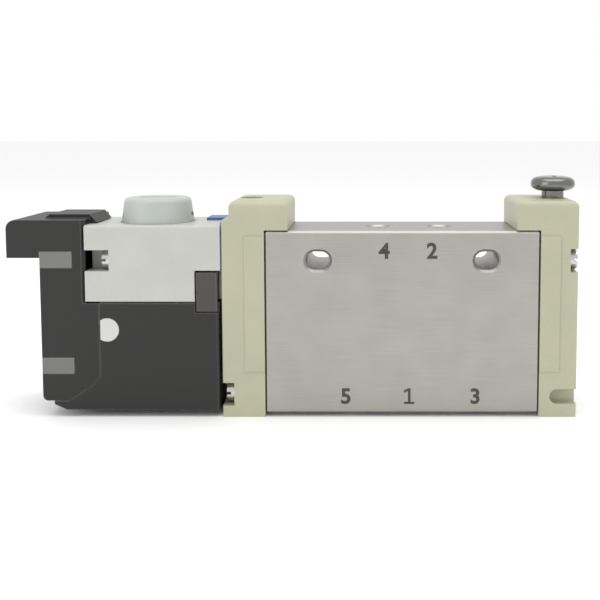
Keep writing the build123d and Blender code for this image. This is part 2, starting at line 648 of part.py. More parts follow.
# ---- Screws --------------------------------------------------------------------------------
def small_screw(seat_x, tip_x, spot):
    """Slotted cheese-head screw along X, its head on the far side of the seat from its tip."""
    way = 1 if tip_x > seat_x else -1
    outer_x = seat_x - way * SCREW_HEAD_HEIGHT
    round_x((seat_x, tip_x), [spot], SCREW_SHANK / 2)
    round_x((seat_x, outer_x), [spot], SCREW_HEAD / 2)
    slot_x = sorted((outer_x, outer_x + way * SCREW_HEAD_HEIGHT / 2))
    y_span = (spot[0] - SCREW_HEAD / 2, spot[0] + SCREW_HEAD / 2)
    block(slot_x, y_span, (spot[1] - SCREW_SLOT / 2, spot[1] + SCREW_SLOT / 2), Mode.SUBTRACT)


def make_small_screws(name, runs):
    """One node of separate screws; each run is (seat x, tip x, (y, z))."""
    with BuildPart() as small_screws:
        for seat_x, tip_x, spot in runs:
            small_screw(seat_x, tip_x, spot)
    save(small_screws, name)


def make_hold_down_screw():
    """Pan-head screw that stands in the right tower with its tip level with the caps' feet."""
    tip = -CAP_FOOT
    under = tower_top + HOLD_DOWN_PROUD
    top = under + HOLD_DOWN_HEAD_HEIGHT
    with BuildPart() as head:
        with BuildSketch(Plane.XZ) as profile:
            with BuildLine():
                foot = (HEAD_FOOT_DIAMETER / 2, under)
                rim = (HOLD_DOWN_HEAD / 2, under + HEAD_RIM_RISE)
                Line((0, under), foot)
                Spline(foot, rim, (0, top), tangents=[(1, 0.35), (0, 1), (-1, 0)])
                Line((0, top), (0, under))
            make_face()
        revolve(profile.sketch, Axis.Z)
    placed = head.part.moved(Location((right_hole_x, 0, 0)))
    with BuildPart() as hold_down_screw:
        add(placed)
        shank = HOLD_DOWN_BORE / 2 - RUN_GAP
        round_z((tip, under + HEAD_RIM_RISE), [(right_hole_x, 0)], shank)
        for x_arm, y_arm in ((RECESS_ARM, RECESS_WIDTH), (RECESS_WIDTH, RECESS_ARM)):
            x_span = (right_hole_x - x_arm / 2, right_hole_x + x_arm / 2)
            block(x_span, across(y_arm), (top - RECESS_DEPTH, top), Mode.SUBTRACT)
        point = hold_down_screw.faces().sort_by(Axis.Z)[0].edges()
        chamfer(point, HOLD_DOWN_TIP_CHAMFER)
    save(hold_down_screw, "hold_down_screw")


# ---- Pilot valve ---------------------------------------------------------------------------
def make_pilot_housing():
    """Light grey housing over the coil: override well, valve chamber, channels and notches."""
    half = plastic_width / 2
    x_span = (pilot_left, pilot_right)
    with BuildPart() as pilot_housing:
        block(x_span, across(plastic_width), (PILOT_BOTTOM, PILOT_TOP))
        top_edges = pilot_housing.faces().sort_by(Axis.Z)[-1].edges().filter_by(Axis.X)
        fillet(top_edges, PILOT_ROUND)
        well = (well_floor, PILOT_TOP)
        round_z(well, [(pilot_x, 0)], OVERRIDE_WELL / 2, Mode.SUBTRACT)
        bore = (OVERRIDE_BORE_FLOOR, well_floor)
        round_z(bore, [(pilot_x, 0)], OVERRIDE_BORE / 2, Mode.SUBTRACT)
        pin_hole = PIN_DIAMETER / 2 + RUN_GAP
        run = (chamber_top, OVERRIDE_BORE_FLOOR)
        round_z(run, [(pilot_x - PIN_OFFSET, 0)], pin_hole, Mode.SUBTRACT)
        chamber = (PILOT_BOTTOM, chamber_top)
        round_z(chamber, [(pilot_x, 0)], PILOT_CHAMBER / 2, Mode.SUBTRACT)
        seat = (chamber_top, chamber_top + SEAT_LENGTH)
        round_z(seat, [(pilot_x, 0)], SEAT_DIAMETER / 2 + SEAL_GAP, Mode.SUBTRACT)
        round_z((seat[1], SUPPLY_HIGH_Z), [(pilot_x, 0)], channel_radius, Mode.SUBTRACT)
        round_y((0, SUPPLY_Y), [(pilot_x, SUPPLY_HIGH_Z)], channel_radius, Mode.SUBTRACT)
        round_x((pilot_x, pilot_right), [supply_high, signal], channel_radius, Mode.SUBTRACT)
        notch = (pilot_left, pilot_screw_seat)
        notch_z = (PILOT_SCREW_FRONT_Z - NOTCH_HEIGHT / 2, PILOT_SCREW_FRONT_Z + NOTCH_HEIGHT / 2)
        block(notch, (-half, -half + NOTCH_DEPTH), notch_z, Mode.SUBTRACT)
        round_x(notch, [pilot_back], SCREW_POCKET / 2, Mode.SUBTRACT)
        through = (pilot_screw_seat, pilot_right)
        round_x(through, [pilot_front, pilot_back], clear_radius, Mode.SUBTRACT)
        pocket = (pilot_right - CLIP_POCKET_LENGTH, pilot_right)
        y_span = (-half, -half + CLIP_POCKET_DEPTH)
        block(pocket, y_span, (PILOT_BOTTOM, CLIP_POCKET_TOP), Mode.SUBTRACT)
    save(pilot_housing, "pilot_housing")


def make_pilot_gasket():
    """Blue sheet between the pilot housing and the left cap, with a tongue over the housing."""
    x_span = (pilot_right, left_cap_outer)
    half = plastic_width / 2 - PILOT_GASKET_INSET
    with BuildPart() as pilot_gasket:
        block(x_span, (-half, half), (PILOT_BOTTOM, PILOT_TOP + TONGUE_THICKNESS))
        tongue = (pilot_right - TONGUE_LENGTH, left_cap_outer)
        y_span = (TONGUE_Y - TONGUE_WIDTH / 2, TONGUE_Y + TONGUE_WIDTH / 2)
        block(tongue, y_span, (PILOT_TOP, PILOT_TOP + TONGUE_THICKNESS))
        round_x(x_span, [pilot_front, pilot_back], clear_radius, Mode.SUBTRACT)
        round_x(x_span, [signal, supply_high], channel_radius, Mode.SUBTRACT)
        y_span = (-half, -half + CLIP_POCKET_DEPTH)
        block(x_span, y_span, (PILOT_BOTTOM, CLIP_POCKET_TOP), Mode.SUBTRACT)
    save(pilot_gasket, "pilot_gasket")


def make_pilot_seat():
    """Nozzle pressed up into the pilot housing, which the armature's pad closes."""
    with BuildPart() as pilot_seat:
        round_z((chamber_top, chamber_top + SEAT_LENGTH), [(pilot_x, 0)], SEAT_DIAMETER / 2)
        round_z((nozzle_tip, chamber_top), [(pilot_x, 0)], NOZZLE_DIAMETER / 2)
        through = (nozzle_tip, chamber_top + SEAT_LENGTH)
        round_z(through, [(pilot_x, 0)], NOZZLE_BORE / 2, Mode.SUBTRACT)
    save(pilot_seat, "pilot_seat")


def make_override_cap():
    """Round push cap: tapered skirt, banded rim, screwdriver slot and a pointer notch."""
    base = well_floor + OVERRIDE_TRAVEL + CAP_SKIRT_GAP
    band = CAP_TOP - CAP_BAND
    slope = (CAP_BASE_DIAMETER - CAP_TOP_DIAMETER) / 2 / (CAP_TOP - PILOT_TOP)
    side_at_band = CAP_BASE_DIAMETER / 2 - slope * (band - PILOT_TOP)
    hub_bottom = disc_top + SEAT_GAP
    with BuildPart() as round_cap:
        with BuildSketch(Plane.XZ) as profile:
            with BuildLine():
                Polyline(
                    (0, hub_bottom),
                    (CAP_HUB / 2, hub_bottom),
                    (CAP_HUB / 2, base),
                    (CAP_BASE_DIAMETER / 2, base),
                    (CAP_BASE_DIAMETER / 2, PILOT_TOP),
                    (side_at_band, band),
                    (CAP_TOP_DIAMETER / 2, CAP_TOP),
                    (0, CAP_TOP),
                    close=True,
                )
            make_face()
        revolve(profile.sketch, Axis.Z)
        fillet(round_cap.faces().sort_by(Axis.Z)[-1].edges(), CAP_TOP_ROUND)
    placed = round_cap.part.moved(Location((pilot_x, 0, 0)))
    with BuildPart() as override_cap:
        add(placed)
        x_span = (pilot_x - DRIVER_SLOT_LENGTH / 2, pilot_x + DRIVER_SLOT_LENGTH / 2)
        z_span = (CAP_TOP - DRIVER_SLOT_DEPTH, CAP_TOP)
        block(x_span, across(DRIVER_SLOT_WIDTH), z_span, Mode.SUBTRACT)
        rim = pilot_x + CAP_BASE_DIAMETER / 2
        z_span = (band - 3 * CAP_NOTCH_HEIGHT, band - 2 * CAP_NOTCH_HEIGHT)
        block((rim - CAP_NOTCH_DEPTH, rim), across(CAP_NOTCH_WIDTH), z_span, Mode.SUBTRACT)
    save(override_cap, "override_cap")


def make_override_plunger():
    """Disc under the cap with an off-centre pin that reaches down beside the pilot seat."""
    with BuildPart() as override_plunger:
        round_z((disc_bottom, disc_top), [(pilot_x, 0)], OVERRIDE_BORE / 2 - RUN_GAP)
        round_z((pin_tip, disc_bottom), [(pilot_x - PIN_OFFSET, 0)], PIN_DIAMETER / 2)
    save(override_plunger, "override_plunger")


# ---- Solenoid ------------------------------------------------------------------------------
def d_shape(diameter, flat_x):
    """Outline of the potting plug: a disc cut straight on its left at flat_x."""
    with Locations((coil_left + POTTING_X, POTTING_Z)):
        Circle(diameter / 2)
    with Locations((flat_x - diameter / 2, POTTING_Z)):
        Rectangle(diameter, 2 * diameter, mode=Mode.SUBTRACT)


def make_coil_body():
    """Black block that holds the coil, open on top, with a toe under the plug housing."""
    half = plastic_width / 2
    toe = coil_left - COIL_TOE_LENGTH
    with BuildPart() as coil_body:
        side_profile(
            [
                (coil_right, COIL_BOTTOM),
                (toe + COIL_TOE_SLOPE, COIL_BOTTOM + COIL_TOE_RISE),
                (toe, PLUG_BOTTOM - SEAT_GAP - COIL_TOE_TIP),
                (toe, PLUG_BOTTOM - SEAT_GAP),
                (plug_diagonal[0][0], PLUG_BOTTOM - SEAT_GAP),
                (plug_diagonal[1][0] + SEAT_GAP, plug_diagonal[1][1] - SEAT_GAP),
                (coil_left, plug_diagonal[2][1] - SEAT_GAP),
                (coil_left, COIL_TOP),
                (coil_right, COIL_TOP),
            ],
            across(plastic_width),
        )
        fillet(coil_body.edges().filter_by(Axis.Z).group_by(Axis.X)[-1], COIL_ROUND)
        cavity_x = (coil_left + COIL_WALL, coil_right - COIL_WALL)
        inner = across(plastic_width - 2 * COIL_WALL)
        block(cavity_x, inner, (cavity_floor, COIL_TOP), Mode.SUBTRACT)
        with BuildSketch(Plane.XZ.offset(half)) as plug_hole:
            d_shape(POTTING_DIAMETER + 2 * SEAL_GAP, coil_left + POTTING_FLAT - SEAL_GAP)
        extrude(plug_hole.sketch, amount=POTTING_BACK - COIL_WALL, mode=Mode.SUBTRACT)
        ledge_z = (CLIP_BOTTOM - SEAT_GAP, COIL_TOP)
        block(clip_pocket, (-half, -half + CLIP_LEDGE), ledge_z, Mode.SUBTRACT)
        terminals = [(-TERMINAL_PITCH / 2, TERMINAL_Z), (TERMINAL_PITCH / 2, TERMINAL_Z)]
        hole_radius = TERMINAL / 2 + TERMINAL_HOLE_GAP
        round_x((coil_left, coil_left + COIL_WALL), terminals, hole_radius, Mode.SUBTRACT)
    save(coil_body, "coil_body")


def make_coil_gasket():
    """Thin seal between the coil body and the pilot housing."""
    half = plastic_width / 2
    z_span = (COIL_TOP, PILOT_BOTTOM)
    with BuildPart() as coil_gasket:
        x_span = (coil_left + COIL_GASKET_INSET, coil_right - COIL_GASKET_INSET)
        block(x_span, across(plastic_width - 2 * COIL_GASKET_INSET), z_span)
        round_z(z_span, [(pilot_x, 0)], PILOT_CHAMBER / 2, Mode.SUBTRACT)
        block(clip_pocket, (-half, -half + CLIP_POCKET_DEPTH), z_span, Mode.SUBTRACT)
    save(coil_gasket, "coil_gasket")


def make_bobbin():
    """Spool of plastic for the winding; the armature slides in its bore."""
    with BuildPart() as bobbin:
        axis = [(pilot_x, 0)]
        round_z((bobbin_bottom, bobbin_top), axis, BOBBIN_HUB / 2)
        round_z((bobbin_bottom, bobbin_bottom + BOBBIN_FLANGE_THICKNESS), axis, BOBBIN_FLANGE / 2)
        round_z((bobbin_top - BOBBIN_FLANGE_THICKNESS, bobbin_top), axis, BOBBIN_FLANGE / 2)
        round_z((bobbin_bottom, bobbin_top), axis, guide_radius, Mode.SUBTRACT)
    save(bobbin, "bobbin")


def make_winding():
    """Copper winding between the bobbin's flanges."""
    low = bobbin_bottom + BOBBIN_FLANGE_THICKNESS + SEAT_GAP
    high = bobbin_top - BOBBIN_FLANGE_THICKNESS - SEAT_GAP
    with BuildPart() as winding:
        round_z((low, high), [(pilot_x, 0)], BOBBIN_FLANGE / 2 - WINDING_INSET)
        round_z((low, high), [(pilot_x, 0)], BOBBIN_HUB / 2 + SEAT_GAP, Mode.SUBTRACT)
    save(winding, "winding")


def make_yoke():
    """Bent steel strap that leads the field round the right side of the coil."""
    leg_outer = coil_right - COIL_WALL - SEAT_GAP
    leg_inner = leg_outer - YOKE_THICKNESS
    far_left = pilot_x - YOKE_REACH
    with BuildPart() as yoke:
        side_profile(
            [
                (far_left, yoke_bottom),
                (leg_outer, yoke_bottom),
                (leg_outer, yoke_top),
                (far_left, yoke_top),
                (far_left, yoke_top - YOKE_THICKNESS),
                (leg_inner, yoke_top - YOKE_THICKNESS),
                (leg_inner, yoke_bottom + YOKE_THICKNESS),
                (far_left, yoke_bottom + YOKE_THICKNESS),
            ],
            across(YOKE_WIDTH),
        )
        round_z((yoke_bottom, yoke_top), [(pilot_x, 0)], guide_radius, Mode.SUBTRACT)
    save(yoke, "yoke")


def make_fixed_core():
    """Steel pole under the armature, with a pocket for the armature's spring."""
    with BuildPart() as fixed_core:
        round_z((cavity_floor, core_top), [(pilot_x, 0)], guide_radius - SEAT_GAP)
        pocket = (core_top - CORE_POCKET_DEPTH, core_top)
        round_z(pocket, [(pilot_x, 0)], ARMATURE_SPRING_POCKET / 2, Mode.SUBTRACT)
    save(fixed_core, "fixed_core")


def make_armature():
    """Steel plunger with a spring pocket below and a seat for its rubber pad on top."""
    with BuildPart() as armature:
        round_z((armature_bottom, armature_top), [(pilot_x, 0)], ARMATURE_DIAMETER / 2)
        pocket = (armature_bottom, armature_bottom + ARMATURE_POCKET_DEPTH)
        round_z(pocket, [(pilot_x, 0)], ARMATURE_SPRING_POCKET / 2, Mode.SUBTRACT)
        seat = (armature_top - PAD_THICKNESS + PAD_PROUD, armature_top)
        round_z(seat, [(pilot_x, 0)], PAD_DIAMETER / 2, Mode.SUBTRACT)
    save(armature, "armature")


def make_armature_pad():
    """Rubber disc set into the armature's top."""
    with BuildPart() as armature_pad:
        low = armature_top - PAD_THICKNESS + PAD_PROUD
        round_z((low, armature_top + PAD_PROUD), [(pilot_x, 0)], PAD_DIAMETER / 2)
    save(armature_pad, "armature_pad")


def make_potting_plug():
    """White plug in the coil body's front, cut flat towards the plug housing."""
    front = plastic_width / 2 + POTTING_PROUD
    with BuildPart() as potting_plug:
        with BuildSketch(Plane.XZ.offset(front)) as disc:
            d_shape(POTTING_DIAMETER, coil_left + POTTING_FLAT)
        extrude(disc.sketch, amount=POTTING_BACK - COIL_WALL - POTTING_PROUD)
    save(potting_plug, "potting_plug")


def make_coil_terminals():
    """Two pins that lead the coil's ends to the circuit board."""
    half = TERMINAL / 2
    x_span = (board_x, pilot_x - BOBBIN_FLANGE / 2 - SEAT_GAP)
    with BuildPart() as coil_terminals:
        for y in (-TERMINAL_PITCH / 2, TERMINAL_PITCH / 2):
            block(x_span, (y - half, y + half), (TERMINAL_Z - half, TERMINAL_Z + half))
    save(coil_terminals, "coil_terminals")


def make_retaining_clip():
    """Clip that locks the pilot housing to the coil body at the front."""
    half = plastic_width / 2
    front = -half + CLIP_RECESS
    x_span = (pilot_right - CLIP_POCKET_LENGTH + CLIP_LEFT_GAP, pilot_right - CLIP_RIGHT_GAP)
    top = CLIP_POCKET_TOP - CLIP_TOP_GAP
    with BuildPart() as retaining_clip:
        block(x_span, (front, -half + CLIP_FOOT), (CLIP_BOTTOM, top))
        y_span = (front, -half + CLIP_POCKET_DEPTH - SEAT_GAP)
        block(x_span, y_span, (PILOT_BOTTOM + SEAT_GAP, top))
        chamfer(retaining_clip.faces().sort_by(Axis.Y)[0].edges(), CLIP_CHAMFER)
    save(retaining_clip, "retaining_clip")


# ---- Plug housing --------------------------------------------------------------------------
def window_spans():
    """X, depth and the two Z spans of the windows' places in the housing's sides."""
    x_span = (plug_left, plug_left + WINDOW_LENGTH)
    uppers = (UPPER_WINDOW_BOTTOM, UPPER_WINDOW_BOTTOM + WINDOW_HEIGHT)
    lowers = (LOWER_WINDOW_BOTTOM, LOWER_WINDOW_BOTTOM + WINDOW_HEIGHT)
    return x_span, uppers, lowers


def make_plug_housing():
    """Black housing of the electrical connection: hooded socket, board space, side windows."""
    half = plastic_width / 2
    with BuildPart() as plug_housing:
        side_profile(
            [
                (plug_left, PLUG_BOTTOM),
                plug_diagonal[0],
                plug_diagonal[1],
                (coil_left - SEAT_GAP, plug_diagonal[2][1]),
                (coil_left - SEAT_GAP, COIL_TOP),
                (upper_right, COIL_TOP),
                (upper_right, PLUG_TOP),
                (hood_left, PLUG_TOP),
                (hood_left, HOOD_BOTTOM),
                (plug_left, HOOD_BOTTOM),
            ],
            across(plastic_width),
        )
        edges = plug_housing.edges().filter_by(Axis.Y)
        fillet(edges.group_by(Axis.X)[0].sort_by(Axis.Z)[-1], HOOD_ROUND)
        fillet(edges.group_by(Axis.Z)[0].sort_by(Axis.X)[0], PLUG_ROUND)
        catch = (upper_right - CATCH_LENGTH, upper_right + CATCH_REACH)
        side_profile(
            [
                (catch[0] - CATCH_LEFT_SLOPE, PLUG_TOP),
                (catch[0], PLUG_TOP + CATCH_HEIGHT),
                (catch[1] - CATCH_RIGHT_SLOPE, PLUG_TOP + CATCH_HEIGHT),
                (catch[1], PILOT_TOP + CATCH_LIFT),
                (upper_right, PILOT_TOP + CATCH_LIFT),
                (upper_right, PLUG_TOP - CATCH_ROOT),
                (catch[0] - CATCH_LEFT_SLOPE, PLUG_TOP - CATCH_ROOT),
            ],
            across(CATCH_WIDTH),
        )
        inner = across(plastic_width - 2 * PLUG_WALL)
        board_space = (PLUG_BOTTOM + BOARD_FOOT, SOCKET_TOP)
        block((board_x - SEAT_GAP, upper_right), inner, board_space, Mode.SUBTRACT)
        side_profile(
            [
                (plug_left + PLUG_WALL, PLUG_BOTTOM + PLUG_WALL),
                (plug_diagonal[0][0] - CAVITY_CORNER, PLUG_BOTTOM + PLUG_WALL),
                (coil_left - SEAT_GAP, plug_diagonal[2][1] + PLUG_WALL),
                (coil_left - SEAT_GAP, COIL_TOP),
                (board_x, COIL_TOP),
                (board_x, SOCKET_BOTTOM - PLUG_WALL),
                (plug_left + PLUG_WALL, SOCKET_BOTTOM - PLUG_WALL),
            ],
            inner,
            Mode.SUBTRACT,
        )
        block((hood_left, socket_end), across(SOCKET_WIDTH), (SOCKET_BOTTOM, SOCKET_TOP), Mode.SUBTRACT)
        reach = CONTACT / 2 + SEAL_GAP
        for y in (-CONTACT_PITCH / 2, CONTACT_PITCH / 2):
            z_span = (socket_z - reach, socket_z + reach)
            block((socket_end, board_x), (y - reach, y + reach), z_span, Mode.SUBTRACT)
        x_span, uppers, lowers = window_spans()
        for z_span in (uppers, lowers):
            for y_span in ((-half, -half + PLUG_WALL), (half - PLUG_WALL, half)):
                block(x_span, y_span, z_span, Mode.SUBTRACT)
        upright = plug_housing.edges().filter_by(Axis.Z)
        joint_edges = upright.filter_by_position(Axis.X, upper_right - 0.01, upper_right + 0.01)
        for side in (-half, half):
            chamfer(joint_edges.filter_by_position(Axis.Y, side - 0.01, side + 0.01), PLUG_CHAMFER)
    save(plug_housing, "plug_housing")


def make_windows(name, z_span):
    """Clear grey windows, one in each side of the plug housing."""
    half = plastic_width / 2
    x_span = window_spans()[0]
    with BuildPart() as windows:
        for y_span in ((-half, -half + PLUG_WALL), (half - PLUG_WALL, half)):
            block(
                (x_span[0], x_span[1] - SEAL_GAP),
                y_span,
                (z_span[0] + SEAL_GAP, z_span[1] - SEAL_GAP),
            )
    save(windows, name)


def make_circuit_board():
    """Upright board that joins the socket's pins to the coil's terminals."""
    inner = plastic_width - 2 * PLUG_WALL - 2 * SEAT_GAP
    x_span = (board_x, board_x + BOARD_THICKNESS)
    z_span = (PLUG_BOTTOM + BOARD_FOOT + SEAT_GAP, SOCKET_TOP - SEAT_GAP)
    with BuildPart() as circuit_board:
        block(x_span, across(inner), z_span)
        for pitch, size, z in (
            (CONTACT_PITCH, CONTACT, socket_z),
            (TERMINAL_PITCH, TERMINAL, TERMINAL_Z),
        ):
            reach = size / 2 + SEAL_GAP
            for y in (-pitch / 2, pitch / 2):
                block(x_span, (y - reach, y + reach), (z - reach, z + reach), Mode.SUBTRACT)
    save(circuit_board, "circuit_board")


def make_indicator_led():
    """Lamp on the board, level with the upper windows."""
    with BuildPart() as indicator_led:
        middle = UPPER_WINDOW_BOTTOM - LED_DROP
        z_span = (middle - LED_HEIGHT / 2, middle + LED_HEIGHT / 2)
        block((board_x - LED_DEPTH, board_x), across(LED_WIDTH), z_span)
    save(indicator_led, "indicator_led")


def make_socket_pins():
    """Two contact pins in the plug socket."""
    half = CONTACT / 2
    x_span = (socket_end - CONTACT_REACH, board_x + BOARD_THICKNESS + CONTACT_TAIL)
    with BuildPart() as socket_pins:
        for y in (-CONTACT_PITCH / 2, CONTACT_PITCH / 2):
            block(x_span, (y - half, y + half), (socket_z - half, socket_z + half))
    save(socket_pins, "socket_pins")


# ---- Build ---------------------------------------------------------------------------------
make_valve_body()
make_gallery_plug()
for index, centre in enumerate(ring_centres):
    make_spacer_ring(index + 1, centre)
for index, centre in enumerate(seal_centres):
    make_spool_seal(index + 1, centre)
make_guide_bush("left_guide_bush", left_bush)
make_guide_bush("right_guide_bush", right_bush)
make_spool()
make_pilot_piston()
make_piston_seal()
make_spring_seat()
make_spring(
    "return_spring",
    (seat_right, 0, spool_z),
    (1, 0, 0),
    recess_floor_right - seat_right,
    RETURN_SPRING_DIAMETER,
    SPRING_WIRE,
    SPRING_TURNS,
)
make_end_gasket("left_gasket", (left_cap_inner, body_left), [low_front, high_back], SPOOL_BORE)
make_end_gasket("right_gasket", (body_right, right_cap_inner), [high_front, low_back], SPOOL_BORE)
make_left_end_cap()
make_right_end_cap()
left_tip = body_left + SCREW_GRIP
right_tip = body_right - SCREW_GRIP
make_small_screws(
    "left_cap_screws", [(left_screw_seat, left_tip, low_front), (left_screw_seat, left_tip, high_back)]
)
make_small_screws(
    "right_cap_screws",
    [(right_screw_seat, right_tip, high_front), (right_screw_seat, right_tip, low_back)],
)
pilot_tip = left_cap_outer + SCREW_GRIP
make_small_screws(
    "pilot_screws",
    [(pilot_screw_seat, pilot_tip, pilot_front), (pilot_screw_seat, pilot_tip, pilot_back)],
)
make_hold_down_screw()
make_pilot_housing()
make_pilot_gasket()
make_pilot_seat()
make_override_cap()
make_override_plunger()
make_spring(
    "override_spring",
    (pilot_x, 0, OVERRIDE_BORE_FLOOR),
    (0, 0, 1),
    disc_bottom - OVERRIDE_BORE_FLOOR,
    OVERRIDE_SPRING_DIAMETER,
    OVERRIDE_SPRING_WIRE,
    OVERRIDE_SPRING_TURNS,
)
make_coil_body()
make_coil_gasket()
make_bobbin()
make_winding()
make_yoke()
make_fixed_core()
make_armature()
make_armature_pad()
make_spring(
    "armature_spring",
    (pilot_x, 0, core_top - CORE_POCKET_DEPTH),
    (0, 0, 1),
    CORE_POCKET_DEPTH + ARMATURE_GAP + ARMATURE_POCKET_DEPTH,
    ARMATURE_SPRING_POCKET - 2 * RUN_GAP,
    ARMATURE_SPRING_WIRE,
    ARMATURE_SPRING_TURNS,
)
make_potting_plug()
make_coil_terminals()
make_retaining_clip()
make_plug_housing()
make_windows("upper_windows", window_spans()[1])
make_windows("lower_windows", window_spans()[2])
make_circuit_board()
make_indicator_led()
make_socket_pins()
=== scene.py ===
"""Finishes, port digits, stage and camera of a solenoid directional valve.

Laid out as an add-on and run as a script.

Metres, in the CAD frame: +X along the valve, -Y the printed side, +Z up.
"""

import json
import math

import bpy
import numpy as np
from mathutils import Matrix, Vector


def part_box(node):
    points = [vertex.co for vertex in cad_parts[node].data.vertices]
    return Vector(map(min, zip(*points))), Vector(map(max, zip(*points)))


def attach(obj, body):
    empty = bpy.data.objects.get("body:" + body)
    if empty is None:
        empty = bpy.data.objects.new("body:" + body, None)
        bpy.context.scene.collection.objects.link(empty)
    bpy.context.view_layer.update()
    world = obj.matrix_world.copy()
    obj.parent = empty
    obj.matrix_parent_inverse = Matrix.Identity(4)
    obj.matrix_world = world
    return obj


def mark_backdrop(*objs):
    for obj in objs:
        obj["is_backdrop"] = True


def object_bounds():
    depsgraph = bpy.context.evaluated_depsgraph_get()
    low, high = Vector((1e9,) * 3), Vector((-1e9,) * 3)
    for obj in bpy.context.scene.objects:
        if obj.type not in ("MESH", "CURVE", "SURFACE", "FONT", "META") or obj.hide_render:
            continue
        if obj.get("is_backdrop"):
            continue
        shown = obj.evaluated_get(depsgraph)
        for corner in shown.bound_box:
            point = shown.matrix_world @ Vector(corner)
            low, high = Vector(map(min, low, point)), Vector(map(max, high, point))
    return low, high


bl_info = {
    "name": "Solenoid valve look",
    "version": (1, 0, 0),
    "blender": (4, 5, 0),
    "location": "3D View > Sidebar > Valve",
    "description": "Finishes, port digits and stage of a solenoid directional valve",
    "category": "Object",
}

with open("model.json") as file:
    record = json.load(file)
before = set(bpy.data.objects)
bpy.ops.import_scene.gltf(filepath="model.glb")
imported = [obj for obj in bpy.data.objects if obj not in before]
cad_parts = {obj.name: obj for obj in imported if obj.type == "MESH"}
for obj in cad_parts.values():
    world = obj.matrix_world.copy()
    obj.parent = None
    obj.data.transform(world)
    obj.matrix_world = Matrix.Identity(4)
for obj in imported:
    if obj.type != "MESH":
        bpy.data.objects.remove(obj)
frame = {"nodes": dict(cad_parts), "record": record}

MM = 0.001

# grain: how fine it is per metre, how it is drawn out along the axes, how deep it is
PLASTIC_GRAIN = 7000.0
BRUSHED_GRAIN = 9000.0
METAL_GRAIN = 5000.0
INK_GRAIN = 6000.0
GRAIN_DETAIL = 4.0
EVEN = (1.0, 1.0, 1.0)
BRUSHED_STRETCH = (0.02, 1.0, 1.0)
METAL_STRETCH = (1.0, 1.0, 0.3)
BRUSHED_DEPTH = 0.012 * MM
METAL_DEPTH = 0.002 * MM

# how much darker the darkest patches are, how large they are per metre, and the noise they span
PLASTIC_TINT = 0.12
METAL_TINT = 0.16
INK_TINT = 0.3
PATCH_SCALE = 260.0
PATCH_RANGE = (0.6, 1.4)

# rounded edges: the bevel radius, and the near-white colour mixed in along them as a painted highlight
EDGE_RADIUS = 0.12 * MM
EDGE_HIGHLIGHT_COLOUR = (0.85, 0.85, 0.82, 1.0)

# printed digits
INK_COLOUR = (0.045, 0.045, 0.04)
INK_ROUGHNESS = 0.5
PRINT_PROUD = 0.004 * MM

# floor, half of its side in metres, and surroundings as the camera's rays and all others meet them
FLOOR_REACH = 2
FLOOR_COLOUR = (0.97, 0.97, 0.97, 1.0)
FLOOR_ROUGHNESS = 0.9
FLOOR_SHINE = 0.1
SURROUND_COLOUR = (1.0, 1.0, 1.0, 1.0)
SURROUND_LIGHT = 0.97
SURROUND_SEEN = 1.0

# lights: place in metres, turn in degrees, size in metres
KEY_PLACE = (0.02, -0.05, 0.3)
KEY_TURN = (-8, 4, 0)
KEY_SIZE = (0.35, 0.25)
FILL_PLACE = (-0.25, -0.2, 0.12)
FILL_TURN = (70, 0, -50)
FILL_SIZE = (0.2, 0.2)
FILL_SHARE = 0.3

# camera: place in metres, tilt in degrees, sensor and lens in millimetres, shift in picture widths
CAMERA_PLACE = (-0.00444, -0.1001, 0.03166)
CAMERA_TILT = 85.45
SENSOR = 36.0
LENS = 52.44
SHIFT = (-0.117, -0.171)
NEAR_CLIP = 0.001

# material slot: (base colour, roughness)
PLASTICS = {
    "cap_plastic": ((0.44, 0.435, 0.31), 0.42),
    "pilot_plastic": ((0.49, 0.50, 0.46), 0.4),
    "override_plastic": ((0.44, 0.47, 0.44), 0.38),
    "black_plastic": ((0.008, 0.008, 0.007), 0.5),
    "clip_plastic": ((0.05, 0.044, 0.038), 0.4),
    "potting_white": ((0.6, 0.6, 0.57), 0.22),
    "window_plastic": ((0.16, 0.16, 0.15), 0.1),
    "blue_seal": ((0.05, 0.13, 0.34), 0.4),
    "seal_rubber": ((0.012, 0.012, 0.012), 0.6),
    "spacer_plastic": ((0.35, 0.3, 0.2), 0.5),
    "board_green": ((0.01, 0.09, 0.03), 0.35),
    "led_plastic": ((0.7, 0.55, 0.1), 0.15),
}
METALS = {
    "body_aluminium": ((0.41, 0.40, 0.37), 0.42),
    "screw_chrome": ((0.2, 0.2, 0.19), 0.16),
    "bright_steel": ((0.6, 0.6, 0.58), 0.25),
    "spool_aluminium": ((0.5, 0.5, 0.48), 0.3),
    "spring_steel": ((0.42, 0.42, 0.4), 0.3),
    "seat_brass": ((0.6, 0.43, 0.14), 0.25),
    "contact_brass": ((0.7, 0.5, 0.18), 0.25),
    "copper_winding": ((0.45, 0.17, 0.06), 0.3),
    "core_steel": ((0.45, 0.45, 0.43), 0.3),
}

# digit, its middle along X and Z in millimetres on the body's printed side
DIGITS = (
    ("5", -7.16, 1.93),
    ("1", -0.11, 1.93),
    ("3", 7.22, 1.93),
    ("4", -2.91, 18.22),
    ("2", 2.35, 18.22),
)

# corners of the digit 1, with its flag and foot, in its own units
ONE = (
    (0.0, 0.0),
    (1.1, 0.0),
    (1.1, 0.24),
    (0.7, 0.24),
    (0.7, 1.7),
    (0.45, 1.7),
    (0.0, 1.45),
    (0.0, 1.2),
    (0.42, 1.4),
    (0.42, 0.24),
    (0.0, 0.24),
)


